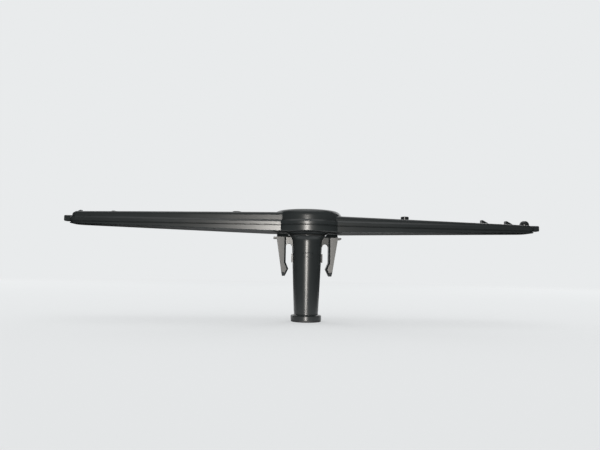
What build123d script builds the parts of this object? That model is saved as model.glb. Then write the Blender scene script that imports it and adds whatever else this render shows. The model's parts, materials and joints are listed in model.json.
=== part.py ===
from build123d import *
import os
from math import atan2, degrees, radians, tan

# Dishwasher spray arm in millimetres, +Z up. The origin is the centre of the feed tube's lower end,
# Z is the spin axis and X runs along the arms. Two welded shells spin on a clip-in feed tube.

# Levels along the spin axis
weld_z = 92.4  # plane where the two shells are welded
hub_rise = 15.9  # hub top above the weld plane
hub_crown = 0.8  # doming of the hub top
pan_depth = 5.8  # hub underside below the weld plane
boss_drop = 2.0  # bearing boss below the hub underside
boss_edge = 0.9  # boss's wall round the bush at its lower end
boss_flare = 3.0  # boss's widening up to the hub underside

# Plan of the two arms
arm_reach = 228.0  # spin axis to the end wall
arm_overlap = 9.0  # arm carried past the axis inside the hub
hub_radius = 36.5
root_half_width = 26.0  # arm outline continued to the spin axis
tip_half_width = 14.5
tip_corner = 8.0
junction_round = 0.8  # inner corner between hub and arm

# Shell sections
wall = 2.0
floor = 1.2
upper_draft = 4.5
lower_draft = 2.0
groove_height = 1.4  # dark groove along the weld
groove_depth = 1.3
rim_rise = 5.2  # rim's shoulder above the weld plane
rim_wall = 2.6  # upright part of the rim above the groove
rim_round = 0.5
tier_inset = 1.7  # upper wall set in from the rim
hub_round = 6.5
arm_round = 3.2
tall_root, low_root = 13.2, 10.2  # arm top above the weld plane at the axis, tall and low side
right_tall_tip, left_tall_tip = 8.5, 10.6  # and at each tip, tall side
low_tip = 5.9  # and at each tip, low side
lower_inset = 0.3  # lower wall set in from the rim
lower_tip_depth = 1.5  # arm underside below the weld plane at the tip
lower_round = 0.7
lower_inner_round = 0.2
flat_limit = 0.9  # least downward share of an underside's normal
cut_margin = 8.0  # reach of a cutting block past what it cuts

# Nozzles on the arms' tall side, placed from the axis or from the arm's end
nozzle_rise = 3.2
nozzle_hole_radius = 1.3
nozzle_side = 0.1  # share of the half width towards the tall side
nozzle_round = 0.5
round_nozzle_radius = 4.0
small_nozzle_radius = 2.2
small_nozzle_rise = 2.6
dome_nozzle_radius = 4.6
dome_nozzle_rise = 4.3
dome_nozzle_round = 4.0
hood_length = 6.8
hood_width = 5.0
hood_tilt = 28.0
right_round_x, left_round_x = 99.0, 70.0
right_hoods_from_end = (50.0, 24.8)
right_dome_from_end = 4.6
left_small_from_end = 39.0
left_hood_from_end = 8.8

# End nubs
right_nub_length, left_nub_length = 8.5, 7.0
nub_width = 8.0
nub_height = 5.6
nub_rise = 0.9  # nub's underside above the weld plane
nub_round = 1.2
nub_end_round = 0.8

# Bearing
journal_radius = 14.0
running_clearance = 0.05
bush_wall = 2.5
bush_flange_width = 2.0
bush_flange_height = 1.5
bush_chamfer = 0.3
collar_wall = 2.2
collar_rise = 8.1  # collar top above the hub underside
washer_height = 1.0
washer_width = 3.6
washer_clearance = 0.12
thrust_gap = 0.15
ring_height = 1.2
ring_depth = 0.9  # groove depth in the journal
ring_width = 2.9
ring_gap = 10.0  # opening of the spring ring
ring_slack = 0.05
journal_above_ring = 2.2
journal_chamfer = 0.6

# Feed tube
flange_radius = 15.0
flange_height = 6.2
flange_round = 0.8
tube_low_radius = 11.7  # just above the flange
tube_high_radius = 14.9  # where the flare under the hub begins
flare_height = 5.6
shoulder_width = 4.6  # shoulder outside the journal
shoulder_edge = 0.15
bore_low_radius = 9.4
bore_low_length = 12.0
bore_high_radius = 11.6
tube_fillet = 1.2
seal_height = 2.0
seal_width = 3.2
seal_lip = 0.5  # tube's end above the seal's face
seal_inset = 0.3  # seal's edge inside the flange's
seal_round = 0.5

# Clip hooks
hook_width = 12.0  # at the lip
hook_draft = 2.8  # sides closing towards the tube
hook_root_x = 30.0
hook_tip_x = 24.3
hook_inner_x = 21.0
hook_drop = 1.2  # hook's top below the shoulder
hook_length = 38.2  # hook's top down to its tip
hook_lip_length = 3.5  # lip outside the hook's root
hook_lip_height = 1.8
barb_stand = 2.7
barb_drop = 7.0  # barb's point above the hook's tip
barb_height = 13.4
hook_tip_width = 2.6
hook_corner = 0.6
hook_chamfer = 2.2  # along the edges that face the tube
tip_bevel_height, tip_bevel_depth = 4.5, 3.0  # at the sides of the hook's tip
crest_gap = 0.8  # hook's crest below the spinning hub and its boss
crest_width = 3.0
bracket_depth = 6.4
bracket_width = 7.0

# Side lugs on the tube
lug_z = 61.8
lug_height = 8.5
lug_stand = 1.2
lug_width = 4.0

# Derived levels and radii
half_groove = groove_height / 2
underside_z = weld_z - pan_depth
boss_z = underside_z - boss_drop
shoulder_z = boss_z - thrust_gap - washer_height
shoulder_radius = journal_radius + shoulder_width
tube_high_z = shoulder_z - flare_height
bush_bore_radius = journal_radius + running_clearance
bush_radius = bush_bore_radius + bush_wall
collar_radius = bush_radius + collar_wall
collar_z = underside_z + collar_rise
bush_top_z = collar_z + bush_flange_height
upper_washer_z = bush_top_z + thrust_gap
ring_z = upper_washer_z + washer_height
ring_groove_z = ring_z + ring_height + ring_slack
journal_top_z = ring_groove_z + journal_above_ring
inner_inset = tier_inset + wall
rim_slope = rim_rise - half_groove - rim_wall
rim_lean = degrees(atan2(tier_inset, rim_slope))
boss_lean = degrees(atan2(boss_flare, boss_drop))
spigot_radius = flange_radius - seal_width


def half_width(x, inset):
    """Half width of an arm at distance x from the axis, drawn in by inset."""
    return root_half_width + (tip_half_width - root_half_width) * x / arm_reach - inset


def top_rise(x, y, tall_tip):
    """Height of an arm's slanting top above the weld plane; y points to the tall side."""
    share = x / arm_reach
    tall = tall_root + (tall_tip - tall_root) * share
    low = low_root + (low_tip - low_root) * share
    return (tall + low) / 2 + (tall - low) / 2 * y / half_width(x, tier_inset)


def tube_radius(z):
    """Outside radius of the feed tube's tapered length at height z."""
    share = (z - flange_height) / (tube_high_z - flange_height)
    return tube_low_radius + (tube_high_radius - tube_low_radius) * share


def plan_outline(z, inset):
    """Hub disc with both tapered arms at height z, drawn in by inset."""
    reach = arm_reach - inset
    root, tip = half_width(0, inset), half_width(arm_reach, inset)
    with BuildSketch(Plane.XY.offset(z)) as outline:
        Circle(hub_radius - inset)
        with BuildLine():
            Polyline(
                (0, -root), (reach, -tip), (reach, tip), (0, root), (-reach, tip), (-reach, -tip), close=True
            )
        make_face()
        ends = outline.vertices().filter_by(lambda v: abs(v.X) > hub_radius)
        fillet(ends, tip_corner - inset)
        corners = outline.vertices().filter_by(lambda v: abs(v.X) < hub_radius)
        fillet(corners, junction_round + inset)
    return outline.sketch


def arm_outline(z, inset):
    """One arm towards +X, from just behind the axis, drawn in by inset."""
    reach = arm_reach - inset
    root, tip = half_width(-arm_overlap, inset), half_width(arm_reach, inset)
    with BuildSketch(Plane.XY.offset(z)) as outline:
        with BuildLine():
            Polyline((-arm_overlap, -root), (reach, -tip), (reach, tip), (-arm_overlap, root), close=True)
        make_face()
        fillet(outline.vertices().group_by(Axis.X)[-1], tip_corner - inset)
    return outline.sketch


def top_section(x, drop, tall_tip):
    """Space above an arm's slanting top at distance x, lowered by drop."""
    side = half_width(x, tier_inset) + cut_margin
    high = weld_z + tall_root + 2 * cut_margin
    with BuildSketch(Plane.YZ.offset(x)) as section:
        with BuildLine():
            Polyline(
                (-side, weld_z + top_rise(x, -side, tall_tip) - drop),
                (side, weld_z + top_rise(x, side, tall_tip) - drop),
                (side, high),
                (-side, high),
                close=True,
            )
        make_face()
    return section.sketch


def arm_block(tall_tip, inset, drop, rounding):
    """Upper part of one arm: drafted walls, slanting top and rounded top edges."""
    with BuildPart() as block:
        extrude(arm_outline(weld_z, inset), amount=tall_root + cut_margin, taper=upper_draft)
        ends = [top_section(x, drop, tall_tip) for x in (-arm_overlap - cut_margin, arm_reach)]
        loft(ends, ruled=True, mode=Mode.SUBTRACT)
        top = block.faces().sort_by(Axis.Z)[-1]
        fillet(top.edges().filter_by(lambda e: e.center().X > 0), rounding)
    return block.part


def hub_block(inset, drop, rounding):
    """Upper part of the hub: a drafted wall, a rounded shoulder and a slightly domed top."""
    radius = hub_radius - inset
    top_radius = radius - hub_rise * tan(radians(upper_draft))
    top_z = weld_z + hub_rise - drop
    edge_z = top_z - hub_crown
    with BuildPart() as block:
        with BuildSketch(Plane.XZ) as profile:
            with BuildLine():
                TangentArc((0, top_z), (top_radius, edge_z), tangent=(1, 0))
                Polyline((top_radius, edge_z), (radius, weld_z), (0, weld_z), (0, top_z))
            make_face()
            corner = profile.vertices().sort_by_distance((top_radius, edge_z))[0]
            fillet(corner, rounding)
        revolve(axis=Axis.Z)
    return block.part


def pan_block(top_z, inset, lift, rounding):
    """Lower half below top_z: drafted walls, a flat hub underside and arms that rise to their tips."""
    low_z = underside_z + lift
    tip_z = weld_z - lower_tip_depth + lift
    past = arm_reach + cut_margin
    past_z = low_z + (tip_z - low_z) * (past - hub_radius) / (arm_reach - hub_radius)
    with BuildPart() as block:
        extrude(plan_outline(top_z, inset), amount=low_z - top_z, taper=lower_draft)
        for side in (1, -1):
            near, far = side * hub_radius, side * past
            with BuildSketch(Plane.XZ):
                with BuildLine():
                    Polyline((near, low_z), (far, past_z), (far, 0), (near, 0), close=True)
                make_face()
            extrude(amount=root_half_width + cut_margin, both=True, mode=Mode.SUBTRACT)
        bottoms = block.faces().filter_by(lambda f: f.normal_at().Z < -flat_limit)
        shared = [e for e in bottoms.edges() if sum(e in f.edges() for f in bottoms) == 2]
        fillet([e for e in bottoms.edges() if e not in shared], rounding)
    return block.part


def round_nozzle(x, radius, rise, rounding, tall_tip):
    """A short boss on an arm's top, and its straight spray hole."""
    y = nozzle_side * half_width(x, 0)
    top_z = weld_z + top_rise(x, y, tall_tip) + rise
    with BuildPart() as boss:
        with BuildSketch(Plane.XY.offset(top_z)):
            with Locations((x, y)):
                Circle(radius)
        extrude(amount=-rise - wall)
        fillet(boss.edges().group_by(Axis.Z)[-1], rounding)
    with BuildPart() as hole:
        with BuildSketch(Plane.XY.offset(top_z)):
            with Locations((x, y)):
                Circle(nozzle_hole_radius)
        extrude(amount=-rise - 2 * wall)
    return boss.part, hole.part


def hood_nozzle(x, tall_tip):
    """A hood, steep towards the hub and a ramp towards the tip, and the spray hole in its ramp."""
    y = nozzle_side * half_width(x, 0)
    surface_z = weld_z + top_rise(x, y, tall_tip)
    top_z = surface_z + nozzle_rise
    ramp_length = nozzle_rise / tan(radians(hood_tilt))
    far_x = x + hood_length
    with BuildPart() as hood:
        with BuildSketch(Plane.XZ.offset(-y)):
            with BuildLine():
                Polyline(
                    (x, surface_z - wall),
                    (far_x, surface_z - wall),
                    (far_x, surface_z),
                    (far_x - ramp_length, top_z),
                    (x, top_z),
                    close=True,
                )
            make_face()
        extrude(amount=hood_width / 2, both=True)
        fillet(hood.edges().filter_by(Axis.X), nozzle_round)
    ramp_middle = (far_x - ramp_length / 2, y, surface_z + nozzle_rise / 2)
    ramp = Plane(ramp_middle, x_dir=(0, 1, 0), z_dir=(tan(radians(hood_tilt)), 0, 1))
    with BuildPart() as hole:
        with BuildSketch(ramp.offset(nozzle_rise)):
            Circle(nozzle_hole_radius)
        extrude(amount=-2 * nozzle_rise - 2 * wall)
    return hood.part, hole.part


def end_nub(length):
    """A rounded block on the arm's end wall towards +X."""
    with BuildPart() as nub:
        with BuildSketch(Plane.YZ.offset(arm_reach - inner_inset)):
            with Locations((0, weld_z + nub_rise + nub_height / 2)):
                RectangleRounded(nub_width, nub_height, nub_round)
        extrude(amount=inner_inset + length)
        fillet(nub.edges().group_by(Axis.X)[-1], nub_end_round)
    return nub.part


# Upper shell: weld land, rim, hub and arms, hollowed, with nozzles and end nubs
rim_edge_z = weld_z + half_groove + rim_wall
rim_band = (rim_edge_z - rim_round / 2, rim_edge_z + rim_round / 2)
right_tip, left_tip = right_tall_tip, left_tall_tip
dome_x, small_x = arm_reach - right_dome_from_end, arm_reach - left_small_from_end
right_nozzles = [
    round_nozzle(right_round_x, round_nozzle_radius, nozzle_rise, nozzle_round, right_tip),
    *[hood_nozzle(arm_reach - gap, right_tip) for gap in right_hoods_from_end],
    round_nozzle(dome_x, dome_nozzle_radius, dome_nozzle_rise, dome_nozzle_round, right_tip),
]
left_nozzles = [
    round_nozzle(left_round_x, round_nozzle_radius, nozzle_rise, nozzle_round, left_tip),
    round_nozzle(small_x, small_nozzle_radius, small_nozzle_rise, nozzle_round, left_tip),
    hood_nozzle(arm_reach - left_hood_from_end, left_tip),
]
right_nub, left_nub = end_nub(right_nub_length), end_nub(left_nub_length)
half_turn = Location((0, 0, 0), (0, 0, 180))
arms = ((Location(), right_tip, right_nub, right_nozzles), (half_turn, left_tip, left_nub, left_nozzles))

with BuildPart() as upper_shell:
    extrude(plan_outline(weld_z + half_groove, 0), amount=rim_wall)
    extrude(plan_outline(weld_z + half_groove + rim_wall, 0), amount=rim_slope, taper=rim_lean)
    fillet(upper_shell.edges().filter_by_position(Axis.Z, *rim_band), rim_round)
    extrude(plan_outline(weld_z, groove_depth), amount=half_groove)
    add(hub_block(tier_inset, 0, hub_round))
    for turn, tall_tip, nub, nozzles in arms:
        outer_arm = arm_block(tall_tip, tier_inset, 0, arm_round)
        with Locations(turn):
            add(outer_arm)
            add(nub)
            for boss, hole in nozzles:
                add(boss)
    add(hub_block(inner_inset, wall, hub_round - wall), mode=Mode.SUBTRACT)
    for turn, tall_tip, nub, nozzles in arms:
        inner_arm = arm_block(tall_tip, inner_inset, wall, arm_round - wall)
        with Locations(turn):
            add(inner_arm, mode=Mode.SUBTRACT)
            for boss, hole in nozzles:
                add(hole, mode=Mode.SUBTRACT)

# Lower shell: weld land and pan, hollowed, with the collar for the bush
with BuildPart() as lower_shell:
    add(pan_block(weld_z - half_groove, lower_inset, 0, lower_round))
    extrude(plan_outline(weld_z, groove_depth), amount=-half_groove)
    add(pan_block(weld_z, inner_inset, floor, lower_inner_round), mode=Mode.SUBTRACT)
    with BuildSketch(Plane.XY.offset(boss_z)):
        Circle(bush_radius + boss_edge)
    extrude(amount=boss_drop + floor / 2, taper=-boss_lean)
    with BuildSketch(Plane.XY.offset(underside_z)):
        Circle(collar_radius)
    extrude(amount=collar_rise)
    with BuildSketch(Plane.XY.offset(boss_z)):
        Circle(bush_radius)
    extrude(amount=collar_z - boss_z, mode=Mode.SUBTRACT)

# Bush pressed into the collar, its flange on the collar's top
with BuildPart() as bearing_bush:
    with BuildSketch(Plane.XY.offset(boss_z)):
        Circle(bush_radius)
    extrude(amount=collar_z - boss_z)
    with BuildSketch(Plane.XY.offset(collar_z)):
        Circle(bush_radius + bush_flange_width)
    extrude(amount=bush_flange_height)
    with BuildSketch(Plane.XY.offset(boss_z)):
        Circle(bush_bore_radius)
    extrude(amount=bush_top_z - boss_z, mode=Mode.SUBTRACT)
    chamfer(bearing_bush.edges().filter_by(GeomType.CIRCLE).group_by(Axis.Z)[-1], bush_chamfer)


def thrust_washer(z):
    """A flat washer around the journal, its underside at height z."""
    with BuildPart() as washer:
        with BuildSketch(Plane.XY.offset(z)):
            Circle(journal_radius + washer_clearance + washer_width)
            Circle(journal_radius + washer_clearance, mode=Mode.SUBTRACT)
        extrude(amount=washer_height)
    return washer.part


# Open spring ring in the journal's groove
with BuildPart() as retaining_ring:
    with BuildSketch(Plane.XY.offset(ring_z)):
        Circle(journal_radius + ring_width)
        Circle(journal_radius - ring_depth + ring_slack, mode=Mode.SUBTRACT)
        with Locations((0, journal_radius)):
            Rectangle(ring_gap, 2 * (ring_width + ring_depth), mode=Mode.SUBTRACT)
    extrude(amount=ring_height)

# One clip hook with its crest and bracket; its twin is turned to the other side
hook_top_z = shoulder_z - hook_drop
hook_tip_z = hook_top_z - hook_length
barb_z = hook_tip_z + barb_drop
barb_x = hook_inner_x - barb_stand
crest_z = underside_z - crest_gap
arch_x = tube_radius(hook_top_z - bracket_depth)
arch_radius = (hook_inner_x - arch_x) / 2
arch_z = hook_top_z - bracket_depth - arch_radius
bracket_in_x = (bore_high_radius + arch_x) / 2
bracket_out_x = hook_inner_x + hook_chamfer
lip_x = hook_root_x + hook_lip_length
lip_z = hook_top_z - hook_lip_height
lip_side = hook_width / 2
tip_side = lip_side - tip_bevel_depth
bevel_z = hook_tip_z + tip_bevel_height
room_radius = journal_radius + washer_clearance + washer_width + crest_gap
room_wide_radius = bush_radius + boss_edge + boss_flare + crest_gap
barb_side = lip_side - (lip_x - barb_x) * tan(radians(hook_draft))
with BuildPart() as clip_hook:
    with BuildSketch(Plane.XZ) as hook_profile:
        with BuildLine():
            Polyline(
                (hook_inner_x, hook_top_z),
                (lip_x, hook_top_z),
                (lip_x, lip_z),
                (hook_root_x, lip_z),
                (hook_tip_x, hook_tip_z),
                (hook_tip_x - hook_tip_width, hook_tip_z),
                (barb_x, barb_z),
                (hook_inner_x, hook_tip_z + barb_height),
                close=True,
            )
        make_face()
        fillet(hook_profile.vertices().sort_by(Axis.X)[-2:], hook_corner)
    extrude(amount=lip_side, both=True)
    inner_faces = clip_hook.faces().filter_by(lambda f: f.normal_at().X < 0 and f.center().X < hook_tip_x)
    chamfer(inner_faces.edges().filter_by(Axis.Y, reverse=True), hook_chamfer)
    with BuildSketch(Plane.XY.offset(hook_tip_z)):
        with BuildLine():
            Polyline(
                (lip_x, -lip_side), (lip_x, lip_side), (barb_x, barb_side), (barb_x, -barb_side), close=True
            )
        make_face()
    extrude(amount=hook_length, mode=Mode.INTERSECT)
    with BuildSketch(Plane.YZ.offset(barb_x)):
        with BuildLine():
            Polyline(
                (-lip_side, hook_top_z),
                (-lip_side, bevel_z),
                (-tip_side, hook_tip_z),
                (tip_side, hook_tip_z),
                (lip_side, bevel_z),
                (lip_side, hook_top_z),
                close=True,
            )
        make_face()
    extrude(amount=lip_x - barb_x, mode=Mode.INTERSECT)
    with BuildSketch(Plane.YZ.offset(journal_radius)):
        with BuildLine():
            Polyline(
                (-barb_side, hook_top_z),
                (barb_side, hook_top_z),
                (crest_width / 2, crest_z),
                (-crest_width / 2, crest_z),
                close=True,
            )
        make_face()
    extrude(amount=hook_root_x - journal_radius)
    with BuildSketch(Plane.XZ):
        with BuildLine():
            Polyline(
                (0, hook_top_z),
                (room_radius, hook_top_z),
                (room_radius, boss_z - crest_gap),
                (room_wide_radius, underside_z),
                (0, underside_z),
                close=True,
            )
        make_face()
    revolve(axis=Axis.Z, mode=Mode.SUBTRACT)
    with BuildSketch(Plane.XZ):
        with BuildLine():
            Polyline(
                (arch_x, arch_z),
                (bracket_in_x, arch_z),
                (bracket_in_x, hook_top_z),
                (bracket_out_x, hook_top_z),
                (bracket_out_x, arch_z),
                (hook_inner_x, arch_z),
            )
            ThreePointArc(
                (hook_inner_x, arch_z), (hook_inner_x - arch_radius, arch_z + arch_radius), (arch_x, arch_z)
            )
        make_face()
    extrude(amount=bracket_width / 2, both=True)

with BuildPart() as side_lug:
    lug_in_x = (bore_high_radius + tube_radius(lug_z)) / 2
    lug_out_x = tube_radius(lug_z) + lug_stand
    with BuildSketch(Plane.XZ):
        with Locations(((lug_in_x + lug_out_x) / 2, lug_z)):
            Rectangle(lug_out_x - lug_in_x, lug_height)
    extrude(amount=lug_width / 2, both=True)

# Feed tube: flange, tapered length, flare, shoulder and journal, with a drafted bore
with BuildPart() as feed_tube:
    with BuildSketch(Plane.XZ) as tube_profile:
        with BuildLine():
            Polyline(
                (bore_low_radius, seal_lip),
                (spigot_radius, seal_lip),
                (spigot_radius, seal_height),
                (flange_radius, seal_height),
                (flange_radius, flange_height),
                (tube_low_radius, flange_height),
                (tube_high_radius, tube_high_z),
            )
            taper = (tube_high_radius - tube_low_radius, tube_high_z - flange_height)
            flare_end = (shoulder_radius, shoulder_z - shoulder_edge)
            TangentArc((tube_high_radius, tube_high_z), flare_end, tangent=taper)
            Polyline(
                flare_end,
                (shoulder_radius, shoulder_z),
                (journal_radius, shoulder_z),
                (journal_radius, ring_z),
                (journal_radius - ring_depth, ring_z),
                (journal_radius - ring_depth, ring_groove_z),
                (journal_radius, ring_groove_z),
                (journal_radius, journal_top_z),
                (bore_high_radius, journal_top_z),
                (bore_low_radius, seal_lip + bore_low_length),
                (bore_low_radius, seal_lip),
            )
        make_face()
        at_flange = tube_profile.vertices().sort_by_distance((flange_radius, flange_height))[0]
        fillet(at_flange, flange_round)
        in_corner = tube_profile.vertices().sort_by_distance((tube_low_radius, flange_height))[0]
        fillet(in_corner, tube_fillet)
        at_top = tube_profile.vertices().sort_by_distance((journal_radius, journal_top_z))[0]
        chamfer(at_top, journal_chamfer)
    revolve(axis=Axis.Z)
    for turn in (Location(), half_turn):
        with Locations(turn):
            add(clip_hook.part)
            add(side_lug.part)

# Rubber ring around the tube's end, against the flange
with BuildPart() as end_seal:
    with BuildSketch():
        Circle(flange_radius - seal_inset)
        Circle(spigot_radius, mode=Mode.SUBTRACT)
    extrude(amount=seal_height)
    fillet(end_seal.edges().group_by(Axis.Z)[0].sort_by(SortBy.RADIUS)[-1], seal_round)

pieces = {
    "upper_shell": upper_shell.part,
    "lower_shell": lower_shell.part,
    "bearing_bush": bearing_bush.part,
    "lower_thrust_washer": thrust_washer(shoulder_z),
    "upper_thrust_washer": thrust_washer(upper_washer_z),
    "retaining_ring": retaining_ring.part,
    "feed_tube": feed_tube.part,
    "end_seal": end_seal.part,
}
os.makedirs("parts", exist_ok=True)
for name, piece in pieces.items():
    piece.label = name
    export_step(piece, f"parts/{name}.step")
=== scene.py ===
"""Looks of the dishwasher spray arm: moulded polypropylene, its moulding marks, studio and camera."""

import json
import logging
import math
from dataclasses import dataclass
from enum import Enum

import bpy
import numpy as np
from mathutils import Matrix, Vector


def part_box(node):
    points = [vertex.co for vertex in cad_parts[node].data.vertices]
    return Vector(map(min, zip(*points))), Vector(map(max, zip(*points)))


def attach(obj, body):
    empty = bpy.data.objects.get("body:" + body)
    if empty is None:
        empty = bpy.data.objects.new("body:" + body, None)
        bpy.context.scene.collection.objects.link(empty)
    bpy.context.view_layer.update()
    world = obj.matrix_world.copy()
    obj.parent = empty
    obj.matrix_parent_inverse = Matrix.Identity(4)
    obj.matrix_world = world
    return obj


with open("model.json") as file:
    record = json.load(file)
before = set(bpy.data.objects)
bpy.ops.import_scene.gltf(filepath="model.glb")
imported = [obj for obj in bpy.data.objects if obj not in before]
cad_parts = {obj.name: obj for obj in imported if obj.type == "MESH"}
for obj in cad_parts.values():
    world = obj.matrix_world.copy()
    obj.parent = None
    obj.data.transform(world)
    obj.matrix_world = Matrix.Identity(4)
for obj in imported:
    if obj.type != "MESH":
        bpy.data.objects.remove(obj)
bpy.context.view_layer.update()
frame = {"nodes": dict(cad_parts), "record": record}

MM = 0.001  # metres in a millimetre
FULL_TURN = 2 * math.pi
log = logging.getLogger("spray_arm")


class Body(Enum):
    """Bodies of the frame that pieces ride on."""

    ARM = "arm"
    HOLDER = "holder"


class Slot(Enum):
    """Material slots of the record."""

    ARM = "arm_plastic"
    TUBE = "tube_plastic"
    BUSH = "bush_plastic"
    WASHER = "washer_acetal"
    RING = "ring_steel"
    SEAL = "seal_rubber"


class Nozzle(Enum):
    """Kinds of spray nozzle, each with the width in millimetres of the lip round its hole."""

    ROUND = 0.7
    SMALL = 0.3
    HOOD = 0.5


def to_linear(code: str) -> tuple[float, float, float, float]:
    """Turns an sRGB hex code into a linear colour with full alpha, by the curve of the sRGB standard.

    Args:
        code: colour as "#rrggbb".

    Returns:
        Linear red, green, blue and alpha.
    """
    levels = [int(code[i : i + 2], 16) / 255 for i in (1, 3, 5)]
    linear = [v / 12.92 if v <= 0.04045 else ((v + 0.055) / 1.055) ** 2.4 for v in levels]
    return (*linear, 1.0)


def add_node(tree: bpy.types.NodeTree, kind: str, settings: dict, inputs: dict) -> bpy.types.Node:
    """Adds a node to a tree with its settings and links.

    Args:
        tree: tree that gets the node.
        kind: Blender's type name of the node.
        settings: values of the node's own properties.
        inputs: value or output socket for each input, by name or number.

    Returns:
        The new node.
    """
    node = tree.nodes.new(kind)
    for name, value in settings.items():
        setattr(node, name, value)
    for key, value in inputs.items():
        if isinstance(value, bpy.types.NodeSocket):
            tree.links.new(value, node.inputs[key])
        else:
            node.inputs[key].default_value = value
    return node


def new_material(name: str) -> bpy.types.Material:
    """Makes an empty node material.

    Args:
        name: name of the material.

    Returns:
        The material, with no nodes yet.
    """
    material = bpy.data.materials.new(name)
    material.use_nodes = True
    material.node_tree.nodes.clear()
    return material


@dataclass(frozen=True)
class Polypropylene:
    """Dark polypropylene moulded in a fine-blasted steel tool.

    The eye sees a nearly black grey with soft, clear highlights, faint streaks where the melt flowed
    along the piece, and a skin that is a little uneven in gloss.
    """

    name: str
    colour: str = "#1d2021"
    streak_colour: str = "#25292a"
    streak_mm: tuple[float, float, float] = (45.0, 5.0, 5.0)
    streak_detail: float = 3.0
    roughness: float = 0.295
    gloss_change: float = 0.025
    gloss_patch_mm: float = 14.0
    grain_mm: float = 1.4  # the tool's grain is near 0.1 mm and is drawn coarser to show at all
    grain_depth_mm: float = 0.0015
    ior: float = 1.49

    def build(self) -> bpy.types.Material:
        """Builds the material.

        Returns:
            The finished material, patterned in object coordinates.
        """
        material = new_material(self.name)
        tree = material.node_tree
        place = add_node(tree, "ShaderNodeTexCoord", {}, {}).outputs["Object"]
        stretch = Vector([1 / (size * MM) for size in self.streak_mm])
        along = add_node(tree, "ShaderNodeMapping", {}, {"Vector": place, "Scale": stretch})
        streaks = add_node(
            tree,
            "ShaderNodeTexNoise",
            {},
            {"Vector": along.outputs[0], "Scale": 1.0, "Detail": self.streak_detail},
        )
        tint = add_node(
            tree,
            "ShaderNodeMix",
            {"data_type": "RGBA"},
            {0: streaks.outputs["Fac"], 6: to_linear(self.colour), 7: to_linear(self.streak_colour)},
        )
        patches = add_node(
            tree, "ShaderNodeTexNoise", {}, {"Vector": place, "Scale": 1 / (self.gloss_patch_mm * MM)}
        )
        gloss = add_node(
            tree,
            "ShaderNodeMapRange",
            {},
            {
                "Value": patches.outputs["Fac"],
                "To Min": self.roughness - self.gloss_change,
                "To Max": self.roughness + self.gloss_change,
            },
        )
        grain = add_node(
            tree, "ShaderNodeTexNoise", {}, {"Vector": place, "Scale": 1 / (self.grain_mm * MM)}
        )
        bump = add_node(
            tree,
            "ShaderNodeBump",
            {},
            {"Height": grain.outputs["Fac"], "Distance": self.grain_depth_mm * MM, "Strength": 1.0},
        )
        shader = add_node(
            tree,
            "ShaderNodeBsdfPrincipled",
            {},
            {
                "Base Color": tint.outputs[2],
                "Roughness": gloss.outputs["Result"],
                "IOR": self.ior,
                "Normal": bump.outputs["Normal"],
            },
        )
        add_node(tree, "ShaderNodeOutputMaterial", {}, {"Surface": shader.outputs[0]})
        return material


@dataclass(frozen=True)
class SpeckledMatt:
    """A matt skin with a fine speckle: moulded rubber, or acetal as it leaves the tool.

    The eye sees broad, weak highlights and a slight dusty unevenness of tone.
    """

    name: str
    colour: str
    speck_colour: str
    roughness: float
    ior: float
    speck_mm: float = 1.2
    speck_detail: float = 4.0

    def build(self) -> bpy.types.Material:
        """Builds the material.

        Returns:
            The finished material, patterned in object coordinates.
        """
        material = new_material(self.name)
        tree = material.node_tree
        place = add_node(tree, "ShaderNodeTexCoord", {}, {}).outputs["Object"]
        scale = 1 / (self.speck_mm * MM)
        specks = add_node(
            tree, "ShaderNodeTexNoise", {}, {"Vector": place, "Scale": scale, "Detail": self.speck_detail}
        )
        tint = add_node(
            tree,
            "ShaderNodeMix",
            {"data_type": "RGBA"},
            {0: specks.outputs["Fac"], 6: to_linear(self.colour), 7: to_linear(self.speck_colour)},
        )
        shader = add_node(
            tree,
            "ShaderNodeBsdfPrincipled",
            {},
            {"Base Color": tint.outputs[2], "Roughness": self.roughness, "IOR": self.ior},
        )
        add_node(tree, "ShaderNodeOutputMaterial", {}, {"Surface": shader.outputs[0]})
        return material


@dataclass(frozen=True)
class SpringSteel:
    """Rolled spring steel: the eye sees a soft metallic sheen broken by fine lines from its rolling."""

    name: str = "spring_steel_rolled"
    colour: str = "#b9bbbd"
    roughness: float = 0.32
    line_change: float = 0.08
    line_mm: float = 0.6
    line_waver: float = 2.0

    def build(self) -> bpy.types.Material:
        """Builds the material.

        Returns:
            The finished material, patterned in object coordinates.
        """
        material = new_material(self.name)
        tree = material.node_tree
        place = add_node(tree, "ShaderNodeTexCoord", {}, {}).outputs["Object"]
        scale = 1 / (self.line_mm * MM)
        lines = add_node(
            tree, "ShaderNodeTexWave", {}, {"Vector": place, "Scale": scale, "Distortion": self.line_waver}
        )
        gloss = add_node(
            tree,
            "ShaderNodeMapRange",
            {},
            {
                "Value": lines.outputs["Fac"],
                "To Min": self.roughness - self.line_change,
                "To Max": self.roughness + self.line_change,
            },
        )
        shader = add_node(
            tree,
            "ShaderNodeBsdfPrincipled",
            {},
            {"Base Color": to_linear(self.colour), "Metallic": 1.0, "Roughness": gloss.outputs["Result"]},
        )
        add_node(tree, "ShaderNodeOutputMaterial", {}, {"Surface": shader.outputs[0]})
        return material


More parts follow.
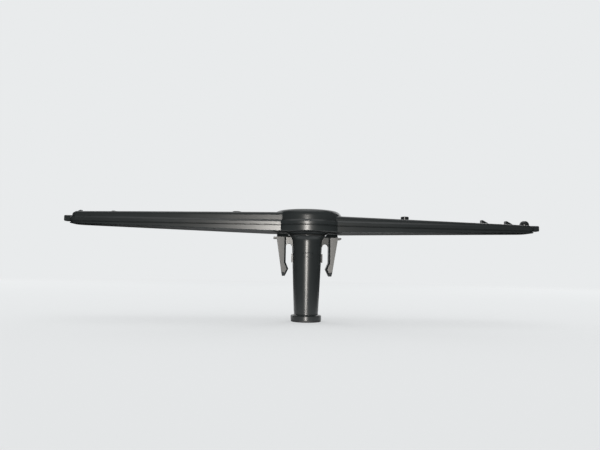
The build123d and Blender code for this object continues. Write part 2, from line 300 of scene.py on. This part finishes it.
class Finishes:
    """The finished materials, one for each slot of the record."""

    def __init__(self) -> None:
        """Builds every material once."""
        # In the tube the melt flowed upwards, so its streaks stand upright
        tube = Polypropylene("polypropylene_tube_moulded", streak_mm=(6.0, 6.0, 40.0))
        # Natural acetal is milky white with a soft shine
        bush = SpeckledMatt(
            "acetal_natural_moulded", colour="#d8d6cb", speck_colour="#cfccc0", roughness=0.42, ior=1.48
        )
        # Washers worn in by running are dull
        washer = SpeckledMatt(
            "acetal_black_moulded", colour="#161718", speck_colour="#1c1d1e", roughness=0.75, ior=1.48
        )
        # Seal rubber is matt, with a trace of bloom
        seal = SpeckledMatt(
            "rubber_black_moulded", colour="#1c1e20", speck_colour="#242628", roughness=0.62, ior=1.52
        )
        self.by_slot = {
            Slot.ARM: Polypropylene("polypropylene_arm_moulded").build(),
            Slot.TUBE: tube.build(),
            Slot.BUSH: bush.build(),
            Slot.WASHER: washer.build(),
            Slot.RING: SpringSteel().build(),
            Slot.SEAL: seal.build(),
        }

    def dress_nodes(self) -> None:
        """Gives each node of the frame the finish that its slot in the record names."""
        for row in frame["record"]["subparts"]:
            mesh = frame["nodes"][row["node"]].data
            mesh.materials.clear()
            mesh.materials.append(self.by_slot[Slot(row["material_slot"])])
            log.info("dressed %s as %s", row["node"], row["material_slot"])


def turns(count: int) -> np.ndarray:
    """Evenly spaced angles round a full turn, without the last."""
    return np.linspace(0, FULL_TURN, count, endpoint=False)


def grid_quads(rows: int, columns: int, wrap_rows: bool, wrap_columns: bool = True) -> np.ndarray:
    """Quads between neighbouring points of a grid.

    Args:
        rows: number of rows of points.
        columns: number of points in a row.
        wrap_rows: whether the last row joins the first.
        wrap_columns: whether the last point of a row joins its first.

    Returns:
        Point numbers of each quad, as an array of four columns.
    """
    across = np.arange(columns if wrap_columns else columns - 1)
    i, j = np.meshgrid(np.arange(rows if wrap_rows else rows - 1), across, indexing="ij")
    below, right = (i + 1) % rows, (j + 1) % columns
    corners = [i * columns + j, below * columns + j, below * columns + right, i * columns + right]
    return np.stack(corners, axis=-1).reshape(-1, 4)


def signed_volume(points: np.ndarray, faces: list[list[int]]) -> float:
    """Six times the volume inside closed faces: the sum of each corner triple's box product."""
    corners = points[np.array([face[:3] for face in faces])]
    return float(np.einsum("ij,ij->i", corners[:, 0], np.cross(corners[:, 1], corners[:, 2])).sum())


def new_piece(
    name: str, points: np.ndarray, faces: list[list[int]], finish: bpy.types.Material, body: Body
) -> bpy.types.Object:
    """Makes a piece from points in millimetres, with its faces turned outwards, and lets it ride.

    Args:
        name: name of the piece.
        points: points in the frame, in millimetres.
        faces: point numbers of each face, all turned the same way.
        finish: material of the piece.
        body: body that carries it.

    Returns:
        The new object.
    """
    if signed_volume(points - points.mean(axis=0), faces) < 0:
        faces = [face[::-1] for face in faces]
    mesh = bpy.data.meshes.new(name)
    mesh.from_pydata((points * MM).tolist(), [], faces)
    mesh.polygons.foreach_set("use_smooth", np.ones(len(faces), dtype=bool))
    mesh.materials.append(finish)
    piece = bpy.data.objects.new(name, mesh)
    bpy.context.scene.collection.objects.link(piece)
    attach(piece, body.value)
    log.info("made %s with %d faces", name, len(faces))
    return piece


def ringed_solid(rings: np.ndarray) -> tuple[np.ndarray, list[list[int]]]:
    """A closed solid of rings of points in a row, closed at both ends by a fan to the ring's middle.

    Args:
        rings: points as rows of closed rings.

    Returns:
        The points and the faces.
    """
    rows, columns, _ = rings.shape
    points = np.concatenate([rings.reshape(-1, 3), rings[[0, -1]].mean(axis=1)])
    j = np.arange(columns)
    ahead = (j + 1) % columns
    last = (rows - 1) * columns
    first_fan = np.stack([np.full(columns, rows * columns), j, ahead], axis=-1)
    last_fan = np.stack([np.full(columns, rows * columns + 1), last + ahead, last + j], axis=-1)
    sides = grid_quads(rows, columns, wrap_rows=False)
    faces = sides.tolist() + first_fan.tolist() + last_fan.tolist()
    return points, faces


@dataclass
class ArmShell:
    """The two welded shells that spin: sizes in millimetres, as the frame has them."""

    finishes: Finishes
    weld_z: float = 92.4
    reach: float = 228.0
    hub_radius: float = 36.5
    root_half_width: float = 26.0
    tip_half_width: float = 14.5
    tip_corner: float = 8.0
    junction_round: float = 0.8
    groove_depth: float = 1.3
    flash_height: float = 0.7
    flash_stand: float = 0.14
    flash_sink: float = 0.15
    flash_wander: float = 0.08
    flash_waves: tuple[int, int] = (61, 149)  # swellings of the flash in one round of the weld
    flash_lag: float = 1.0  # angle that the fast wave is ahead of the slow one
    flash_points: int = 17  # along the flash's face
    path_step: float = 1.2
    least_steps: int = 3
    nozzle_side: float = 0.1  # share of the half width towards the tall side
    hole_radius: float = 1.3
    lip_radius: float = 0.22
    lip_points: int = 40  # round the hole
    lip_roll_points: int = 10  # round the lip's section
    round_places: tuple[float, float] = (99.0, -70.0)
    small_gap: float = 39.0  # from the left end
    right_hood_gaps: tuple[float, float] = (50.0, 24.8)  # from the right end
    left_hood_gap: float = 8.8
    hood_length: float = 6.8
    hood_rise: float = 3.2
    hood_tilt: float = math.radians(28)
    gate_radius: float = 2.4
    gate_rise: float = 0.25
    gate_shares: tuple[float, ...] = (0.05, 0.5, 0.85, 0.97, 1.0, 1.0)  # of the radius, ring by ring
    gate_levels: tuple[float, ...] = (0.7, 0.72, 0.8, 0.6, 0.3, -0.6)  # of the rise, ring by ring
    gate_points: int = 32

    def piece(self, name: str, points: np.ndarray, faces: list[list[int]]) -> bpy.types.Object:
        """Makes a piece of arm plastic that rides on the arm."""
        return new_piece(name, points, faces, self.finishes.by_slot[Slot.ARM], Body.ARM)

    def steps(self, distance: float) -> np.ndarray:
        """Shares from 0 to just under 1, about a path step apart over a distance."""
        return np.linspace(0, 1, max(int(distance / self.path_step), self.least_steps), endpoint=False)

    def arc(
        self, middle: tuple[float, float], radius: float, start: float, end: float
    ) -> tuple[np.ndarray, np.ndarray]:
        """Points of an arc in plan: the middle plus the radius along each angle.

        Args:
            middle: centre of the arc.
            radius: its radius.
            start: first angle.
            end: last angle, not reached.

        Returns:
            The points and the angle of each.
        """
        turn = start + (end - start) * self.steps(abs(radius * (end - start)))
        return np.array(middle) + radius * np.stack([np.cos(turn), np.sin(turn)], axis=-1), turn

    def quarter_outline(self, inset: float) -> tuple[np.ndarray, np.ndarray]:
        """A quarter of the plan, from the middle of the right end wall round to the hub's back.

        It is a straight end wall, a round corner, a straight side, a hollow round at the hub and the
        hub's arc, each met where its tangent is the same. The hollow's centre lies one hollow's radius
        off the side and as far outside the hub, which gives a quadratic for its place along X.

        Args:
            inset: distance that the outline is drawn in.

        Returns:
            The points in plan and the direction of the outward normal at each, in radians.
        """
        slope = (self.root_half_width - self.tip_half_width) / self.reach
        length = math.hypot(1, slope)
        reach, root, hub = self.reach - inset, self.root_half_width - inset, self.hub_radius - inset
        corner, hollow = self.tip_corner - inset, self.junction_round + inset
        corner_x = reach - corner
        corner_y = root - slope * corner_x - corner * length
        side_turn = math.atan2(1, slope)
        lift = root + hollow * length
        span = hub + hollow
        under_root = (slope * lift) ** 2 - length**2 * (lift**2 - span**2)
        hollow_x = (slope * lift + math.sqrt(under_root)) / length**2
        hollow_y = lift - slope * hollow_x
        hub_turn = math.atan2(hollow_y, hollow_x)
        side = np.array([math.cos(side_turn), math.sin(side_turn)])
        side_start = np.array([corner_x, corner_y]) + corner * side
        side_end = np.array([hollow_x, hollow_y]) - hollow * side
        rise = self.steps(corner_y)
        wall = np.stack([np.full_like(rise, reach), corner_y * rise], axis=-1)
        run = self.steps(float(np.linalg.norm(side_end - side_start)))[:, None]
        straight = side_start + (side_end - side_start) * run
        bend, bend_turn = self.arc((corner_x, corner_y), corner, 0.0, side_turn)
        dip, dip_turn = self.arc((hollow_x, hollow_y), hollow, side_turn - math.pi, hub_turn - math.pi)
        dome, dome_turn = self.arc((0.0, 0.0), hub, hub_turn, math.pi / 2)
        points = np.concatenate([wall, bend, straight, dip, dome])
        wall_turn = np.zeros(len(wall))
        straight_turn = np.full(len(straight), side_turn)
        normals = np.concatenate([wall_turn, bend_turn, straight_turn, dip_turn + math.pi, dome_turn])
        return points, normals

    def outline(self, inset: float) -> tuple[np.ndarray, np.ndarray]:
        """The whole plan, its quarter mirrored across both axes.

        Args:
            inset: distance that the outline is drawn in.

        Returns:
            The points in plan and the outward normal at each.
        """
        points, turn = self.quarter_outline(inset)
        normals = np.stack([np.cos(turn), np.sin(turn)], axis=-1)
        quarter = np.stack([points, normals])
        middle = np.array([[[0.0, self.hub_radius - inset]], [[0.0, 1.0]]])
        half = np.concatenate([quarter, middle, quarter[:, :0:-1] * [-1, 1]], axis=1)
        end = np.array([[[inset - self.reach, 0.0]], [[-1.0, 0.0]]])
        loop = np.concatenate([half, end, half[:, :0:-1] * [1, -1]], axis=1)
        return loop[0], loop[1]

    def weld_flash(self) -> bpy.types.Object:
        """The double roll of plastic squeezed out along the weld.

        The profile stands out by the size of a sine over two humps, is closed behind, and swells and
        thins along the weld by two slow waves.

        Returns:
            The piece.
        """
        path, normals = self.outline(self.groove_depth)
        seats = np.linspace(0, FULL_TURN, self.flash_points)
        out = np.append(self.flash_stand * np.abs(np.sin(seats)), [-self.flash_sink, -self.flash_sink])
        up = np.append(seats / FULL_TURN - 0.5, [0.5, -0.5]) * self.flash_height
        walk = turns(len(path))
        slow, fast = self.flash_waves
        swell = 1 + self.flash_wander * (np.sin(slow * walk) + np.sin(fast * walk + self.flash_lag))
        stand = np.where(out > 0, out, 0) * swell[:, None] + np.minimum(out, 0)
        plan = path[:, None, :] + normals[:, None, :] * stand[..., None]
        height = np.broadcast_to(self.weld_z + up, stand.shape)
        points = np.concatenate([plan, height[..., None]], axis=-1).reshape(-1, 3)
        faces = grid_quads(len(path), len(up), wrap_rows=True).tolist()
        return self.piece("weld_flash", points, faces)

    def half_width(self, x: float) -> float:
        """Half the arm's width at a distance from the axis."""
        return self.root_half_width + (self.tip_half_width - self.root_half_width) * x / self.reach

    def nozzle_places(self) -> list[tuple[float, Nozzle]]:
        """Places of the spray holes along the arms; a hood's hole is in the middle of its ramp.

        Returns:
            Distance along X and kind of each nozzle.
        """
        ramp_middle = self.hood_length - self.hood_rise / math.tan(self.hood_tilt) / 2
        right, left = self.round_places
        hoods = [(self.reach - gap + ramp_middle, Nozzle.HOOD) for gap in self.right_hood_gaps]
        small = (self.small_gap - self.reach, Nozzle.SMALL)
        left_hood = (self.left_hood_gap - self.reach - ramp_middle, Nozzle.HOOD)
        return [(right, Nozzle.ROUND), *hoods, (left, Nozzle.ROUND), small, left_hood]

    def nozzle_lip(self, number: int, x: float, kind: Nozzle) -> bpy.types.Object:
        """A fine raised lip round a spray hole: a circle carried round the hole on the nozzle's face.

        Args:
            number: number of the nozzle.
            x: place of the hole along the arms.
            kind: kind of nozzle.

        Returns:
            The piece.
        """
        radius = self.hole_radius + kind.value / 2
        side = math.copysign(self.nozzle_side * self.half_width(abs(x)), x)
        above = Vector((x, side + radius, self.weld_z + self.reach)) * MM
        _, seat, up, _ = frame["nodes"]["upper_shell"].ray_cast(above, Vector((0, 0, -1)))
        up = np.array(up)
        middle = np.array(seat) / MM - [0, radius, 0]
        across = np.array([0.0, 1.0, 0.0])
        along = np.cross(across, up)
        turn = turns(self.lip_points)[:, None, None]
        roll = turns(self.lip_roll_points)[None, :, None]
        spoke = np.cos(turn) * along + np.sin(turn) * across
        outward = spoke * (radius + self.lip_radius * np.cos(roll))
        ring = middle + outward + up * self.lip_radius * np.sin(roll)
        faces = grid_quads(turn.size, roll.size, wrap_rows=True).tolist()
        return self.piece(f"nozzle_lip_{number}", ring.reshape(-1, 3), faces)

    def gate_mark(self) -> bpy.types.Object:
        """The trimmed stub in the middle of the hub where the melt came in: a low round button.

        Its rings are circles with shares of its radius, each at a share of its rise above the hub.

        Returns:
            The piece.
        """
        _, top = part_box("upper_shell")
        share = np.array(self.gate_shares)
        level = np.array(self.gate_levels) * self.gate_rise
        turn = turns(self.gate_points)
        ring = np.stack([np.cos(turn), np.sin(turn)], axis=-1)
        plan = self.gate_radius * share[:, None, None] * ring
        height = np.broadcast_to((top.z / MM + level)[:, None, None], (len(share), len(turn), 1))
        points, faces = ringed_solid(np.concatenate([plan, height], axis=-1))
        return self.piece("gate_mark", points, faces)

    def build(self) -> None:
        """Builds every detail of the shells."""
        self.weld_flash()
        for number, (x, kind) in enumerate(self.nozzle_places()):
            self.nozzle_lip(number, x, kind)
        self.gate_mark()


@dataclass
class FeedTube:
    """The fixed tube that the arm spins on: sizes in millimetres, as the frame has them."""

    finishes: Finishes
    low_z: float = 6.2
    low_radius: float = 11.7
    high_z: float = 77.85
    high_radius: float = 14.9
    pad_z: float = 64.6
    pad_width: float = 10.4
    pad_height: float = 4.6
    pad_rise: float = 0.35
    pad_sink: float = 0.3
    pad_bevel: float = 0.6
    pad_edge: float = 0.15
    pad_corner: float = 6.0  # power of the superellipse
    pad_middle: float = 0.05  # share of the face inside its first ring
    pad_rings: int = 9
    pad_points: int = 64
    ridge_ends: tuple[tuple[float, float], ...] = ((9.0, 57.2), (66.4, 75.5))
    ridge_width: float = 0.22
    ridge_stand: float = 0.14
    ridge_points: int = 40
    ridge_roll_points: int = 10
    ridge_least: float = 0.02  # floor of the fade at a ridge's ends

    def piece(self, name: str, points: np.ndarray, faces: list[list[int]]) -> bpy.types.Object:
        """Makes a piece of tube plastic that stays with the tube."""
        return new_piece(name, points, faces, self.finishes.by_slot[Slot.TUBE], Body.HOLDER)

    def radius(self, z: np.ndarray) -> np.ndarray:
        """Outside radius of the tapered tube at a height."""
        share = (z - self.low_z) / (self.high_z - self.low_z)
        return self.low_radius + (self.high_radius - self.low_radius) * share

    def plain_pad(self) -> bpy.types.Object:
        """A bare raised pad on the tube's front: a bevelled oblong that follows the tube.

        Its rings are superellipses wrapped round the tube: even shares of the flat face from its middle
        to its border, then the bevel's top and foot, and the foot again, sunk under the tube's skin.

        Returns:
            The piece.
        """
        half_size = np.array([self.pad_width, self.pad_height]) / 2
        face = half_size - self.pad_bevel - self.pad_edge
        share = np.linspace(self.pad_middle, 1, self.pad_rings)[:, None]
        reach = np.concatenate([share * face, [half_size - self.pad_bevel, half_size, half_size]])
        level = np.append(np.full(self.pad_rings + 1, self.pad_rise), [0.0, -self.pad_sink])
        turn = turns(self.pad_points)
        power = 2 / self.pad_corner
        across = np.sign(np.cos(turn)) * np.abs(np.cos(turn)) ** power * reach[:, :1]
        upward = np.sign(np.sin(turn)) * np.abs(np.sin(turn)) ** power * reach[:, 1:]
        z = self.pad_z + upward
        skin = self.radius(z)
        angle = across / skin
        out = skin + level[:, None]
        points, faces = ringed_solid(np.stack([out * np.sin(angle), -out * np.cos(angle), z], axis=-1))
        return self.piece("plain_pad", points, faces)

    def parting_ridge(self, number: int, ends: tuple[float, float], side: int) -> bpy.types.Object:
        """The fine seam left where the two mould halves met: a small oval carried up the tube's side.

        The oval shrinks to each end by the root of the distance from it.

        Args:
            number: number of the ridge.
            ends: heights of its lower and upper end.
            side: 1 for the right side and -1 for the left.

        Returns:
            The piece.
        """
        z = np.linspace(*ends, self.ridge_points)[:, None]
        turn = turns(self.ridge_roll_points)[None, :]
        fade = np.sqrt(np.clip(np.minimum(z - ends[0], ends[1] - z), self.ridge_least, 1))
        x = side * (self.radius(z) + self.ridge_stand * fade * np.cos(turn))
        y = self.ridge_width * fade * np.sin(turn)
        points, faces = ringed_solid(np.stack([x, y, np.broadcast_to(z, x.shape)], axis=-1))
        return self.piece(f"parting_ridge_{number}", points, faces)

    def build(self) -> None:
        """Builds every detail of the tube."""
        self.plain_pad()
        places = [(ends, side) for ends in self.ridge_ends for side in (1, -1)]
        for number, (ends, side) in enumerate(places):
            self.parting_ridge(number, ends, side)


@dataclass(frozen=True)
class Viewpoint:
    """The camera, placed from the spin axis: it stands before the hub, low, and looks a little up."""

    lens: float = 31.2
    sensor: float = 36.0
    distance: float = 0.5161
    height: float = 0.050
    axis_shift: float = 0.00731  # spin axis right of the picture's middle
    yaw: float = math.radians(3.6)
    pitch: float = math.radians(4.95)
    roll: float = math.radians(1.01)
    clip_near: float = 0.01
    clip_far: float = 50.0

    def place(self) -> Vector:
        """Where the camera stands: back from the axis along the view, and to the side by the shift.

        Returns:
            The place, in metres.
        """
        x = -self.axis_shift * math.cos(self.yaw) - self.distance * math.sin(self.yaw)
        y = self.axis_shift * math.sin(self.yaw) - self.distance * math.cos(self.yaw)
        return Vector((x, y, self.height))

    def build(self) -> bpy.types.Object:
        """Makes the scene's camera.

        Returns:
            The camera object.
        """
        data = bpy.data.cameras.new("camera")
        data.lens = self.lens
        data.sensor_width = self.sensor
        data.clip_start = self.clip_near
        data.clip_end = self.clip_far
        camera = bpy.data.objects.new("camera", data)
        ahead = Vector((math.sin(self.yaw), math.cos(self.yaw), 0)) * math.cos(self.pitch)
        ahead.z = math.sin(self.pitch)
        level_right = Vector((math.cos(self.yaw), -math.sin(self.yaw), 0))
        level_up = level_right.cross(ahead)
        right = level_right * math.cos(self.roll) + level_up * math.sin(self.roll)
        up = level_up * math.cos(self.roll) - level_right * math.sin(self.roll)
        turn = Matrix((right, up, -ahead)).transposed()
        camera.matrix_world = Matrix.Translation(self.place()) @ turn.to_4x4()
        bpy.context.scene.collection.objects.link(camera)
        bpy.context.scene.camera = camera
        return camera


@dataclass(frozen=True)
class Lamp:
    """A soft rectangular studio lamp: place and sizes in metres, power in watts."""

    name: str
    place: tuple[float, float, float]
    aim: tuple[float, float, float]
    width: float
    height: float
    power: float
    colour: str = "#ffffff"

    def build(self) -> bpy.types.Object:
        """Makes the lamp.

        Returns:
            The lamp object.
        """
        data = bpy.data.lights.new(self.name, "AREA")
        data.shape = "RECTANGLE"
        data.size = self.width
        data.size_y = self.height
        data.energy = self.power
        data.color = to_linear(self.colour)[:3]
        lamp = bpy.data.objects.new(self.name, data)
        lamp.location = self.place
        lamp.rotation_euler = (Vector(self.aim) - lamp.location).to_track_quat("-Z", "Y").to_euler()
        bpy.context.scene.collection.objects.link(lamp)
        return lamp


@dataclass
class Studio:
    """A pale floor that fades into a pale backdrop, soft lamps, and dark cards that calm the shine.

    Places and lengths are in metres, and power is in watts.
    """

    view: Viewpoint
    paper: str = "#e9ebec"
    ambient: float = 0.7
    floor_half: float = 12.0
    fade_start: float = 0.7
    fade_end: float = 2.2
    floor_glow: float = 0.5
    key_back: float = 0.05  # key lamp behind the camera
    key_left: float = 0.010  # and to its left
    key_width: float = 0.02
    key_height: float = 0.31
    key_middle: float = 0.055
    key_power: float = 3.2
    key_colour: str = "#fffaf4"
    soft_lamps: tuple[Lamp, ...] = (
        Lamp("overhead", place=(0.0, 0.1, 1.5), aim=(0.0, 0.1, 0.0), width=1.4, height=1.4, power=4.0),
        Lamp("rear_left", place=(-1.3, 1.3, 0.9), aim=(0.0, 0.0, 0.05), width=1.0, height=1.0, power=6.0),
        Lamp("rear_right", place=(1.3, 1.3, 0.9), aim=(0.0, 0.0, 0.05), width=1.0, height=1.0, power=6.0),
    )
    card_colour: str = "#101010"
    card_radius: float = 1.6
    card_foot: float = -0.01
    card_top: float = 8.0
    card_half_turn: float = math.radians(140)  # to each side of the front
    ring_radius: float = 0.12  # floor left clear round the tube's foot
    ring_rear_radius: float = 0.3  # and behind it, where the pale floor lights the part's back
    ring_half_turn: float = math.radians(115)  # to each side of the front
    ring_level: float = 0.001
    card_points: int = 60

    def world(self) -> None:
        """Sets a world that is pale paper to the eye and in reflections, and an even light otherwise."""
        world = bpy.data.worlds.new("studio")
        bpy.context.scene.world = world
        world.use_nodes = True
        tree = world.node_tree
        tree.nodes.clear()
        seen = self.seen_rays(tree)
        paper = add_node(tree, "ShaderNodeBackground", {}, {"Color": to_linear(self.paper), "Strength": 1.0})
        even = add_node(tree, "ShaderNodeBackground", {}, {"Color": (1, 1, 1, 1), "Strength": self.ambient})
        mix = add_node(tree, "ShaderNodeMixShader", {}, {0: seen, 1: even.outputs[0], 2: paper.outputs[0]})
        add_node(tree, "ShaderNodeOutputWorld", {}, {"Surface": mix.outputs[0]})

    def seen_rays(self, tree: bpy.types.NodeTree) -> bpy.types.NodeSocket:
        """Output that is 1 for camera, glossy and transmission rays and 0 for others.

        Args:
            tree: tree that gets the nodes.

        Returns:
            The output socket.
        """
        path = add_node(tree, "ShaderNodeLightPath", {}, {})
        pair = add_node(
            tree,
            "ShaderNodeMath",
            {"operation": "MAXIMUM"},
            {0: path.outputs["Is Camera Ray"], 1: path.outputs["Is Glossy Ray"]},
        )
        three = add_node(
            tree,
            "ShaderNodeMath",
            {"operation": "MAXIMUM"},
            {0: pair.outputs[0], 1: path.outputs["Is Transmission Ray"]},
        )
        return three.outputs[0]

    def floor_paper(self) -> bpy.types.Material:
        """Pale matt paper that keeps shadows and fades into the backdrop with distance.

        Returns:
            The material.
        """
        material = new_material("studio_paper")
        tree = material.node_tree
        place = add_node(tree, "ShaderNodeTexCoord", {}, {}).outputs["Object"]
        reach = add_node(tree, "ShaderNodeVectorMath", {"operation": "LENGTH"}, {0: place})
        fade = add_node(
            tree,
            "ShaderNodeMapRange",
            {"interpolation_type": "SMOOTHSTEP"},
            {"Value": reach.outputs["Value"], "From Min": self.fade_start, "From Max": self.fade_end},
        )
        matt = add_node(tree, "ShaderNodeBsdfDiffuse", {}, {"Color": to_linear(self.paper)})
        glow = add_node(tree, "ShaderNodeEmission", {}, {"Color": to_linear(self.paper), "Strength": 1.0})
        share = add_node(
            tree, "ShaderNodeMath", {"operation": "MULTIPLY"}, {0: self.seen_rays(tree), 1: self.floor_glow}
        )
        shares = {0: share.outputs[0], 1: matt.outputs[0], 2: glow.outputs[0]}
        lit = add_node(tree, "ShaderNodeMixShader", {}, shares)
        clear = add_node(tree, "ShaderNodeBsdfTransparent", {}, {})
        fading = {0: fade.outputs["Result"], 1: lit.outputs[0], 2: clear.outputs[0]}
        mix = add_node(tree, "ShaderNodeMixShader", {}, fading)
        add_node(tree, "ShaderNodeOutputMaterial", {}, {"Surface": mix.outputs[0]})
        return material

    def card_paper(self) -> bpy.types.Material:
        """Plain matt black card.

        Returns:
            The material.
        """
        material = new_material("dark_card")
        tree = material.node_tree
        matt = add_node(tree, "ShaderNodeBsdfDiffuse", {}, {"Color": to_linear(self.card_colour)})
        add_node(tree, "ShaderNodeOutputMaterial", {}, {"Surface": matt.outputs[0]})
        return material

    def stage_sheet(self, name: str, points: np.ndarray, finish: bpy.types.Material) -> bpy.types.Object:
        """Adds a sheet of the stage from a grid of points in metres.

        Args:
            name: name of the sheet.
            points: grid of points.
            finish: its material.

        Returns:
            The sheet.
        """
        rows, columns, _ = points.shape
        quads = grid_quads(rows, columns, wrap_rows=False, wrap_columns=False)
        mesh = bpy.data.meshes.new(name)
        mesh.from_pydata(points.reshape(-1, 3).tolist(), [], quads.tolist())
        mesh.materials.append(finish)
        sheet = bpy.data.objects.new(name, mesh)
        bpy.context.scene.collection.objects.link(sheet)
        return sheet

    def floor(self) -> bpy.types.Object:
        """Lays the floor under the tube's end.

        Returns:
            The floor.
        """
        ends = np.array([-self.floor_half, self.floor_half])
        x, y = np.meshgrid(ends, ends, indexing="ij")
        return self.stage_sheet("floor", np.stack([x, y, np.zeros_like(x)], axis=-1), self.floor_paper())

    def dark_cards(self) -> None:
        """Stands a dark card round the front and lays one round the foot, both seen in reflections alone."""
        finish = self.card_paper()
        turn = np.linspace(-self.card_half_turn, self.card_half_turn, self.card_points)[:, None]
        height, turn = np.broadcast_arrays([[self.card_foot, self.card_top]], turn)
        x, y = self.card_radius * np.sin(turn), -self.card_radius * np.cos(turn)
        front = self.stage_sheet("dark_card_front", np.stack([x, y, height], axis=-1), finish)
        turn = np.linspace(-math.pi, math.pi, self.card_points)[:, None]
        inner = np.where(np.abs(turn) < self.ring_half_turn, self.ring_radius, self.ring_rear_radius)
        reach = np.concatenate([inner, np.full_like(inner, self.floor_half)], axis=1)
        x, y = reach * np.sin(turn), -reach * np.cos(turn)
        level = np.full_like(x, self.ring_level)
        ring = self.stage_sheet("dark_card_floor", np.stack([x, y, level], axis=-1), finish)
        for card in (front, ring):
            card.visible_camera = False
            card.visible_shadow = False
            card.visible_diffuse = False

    def lamps(self, floor: bpy.types.Object) -> None:
        """Hangs a narrow upright key lamp behind the camera, which spares the floor, and the soft lamps.

        Args:
            floor: the floor.
        """
        hub = Vector((0, 0, self.key_middle))
        camera = self.view.place()
        level_camera = Vector((camera.x, camera.y, self.key_middle))
        back = (level_camera - hub).normalized()
        left = Vector((back.y, -back.x, 0))
        place = level_camera + back * self.key_back + left * self.key_left
        key_lamp = Lamp(
            "key",
            place=tuple(place),
            aim=tuple(hub),
            width=self.key_width,
            height=self.key_height,
            power=self.key_power,
            colour=self.key_colour,
        )
        key = key_lamp.build()
        spared = bpy.data.collections.new("spared_by_key")
        spared.objects.link(floor)
        spared.collection_objects[0].light_linking.link_state = "EXCLUDE"
        key.light_linking.receiver_collection = spared
        key.light_linking.blocker_collection = spared
        for lamp in self.soft_lamps:
            lamp.build()

    def build(self) -> None:
        """Builds the whole studio."""
        self.world()
        floor = self.floor()
        self.dark_cards()
        self.lamps(floor)


def main() -> None:
    """Dresses the frame, adds the moulding details, and sets up studio and camera."""
    logging.basicConfig(level=logging.INFO)
    bpy.context.scene.view_settings.view_transform = "Standard"
    finishes = Finishes()
    finishes.dress_nodes()
    ArmShell(finishes).build()
    FeedTube(finishes).build()
    view = Viewpoint()
    view.build()
    Studio(view).build()


if __name__ == "__main__":
    main()
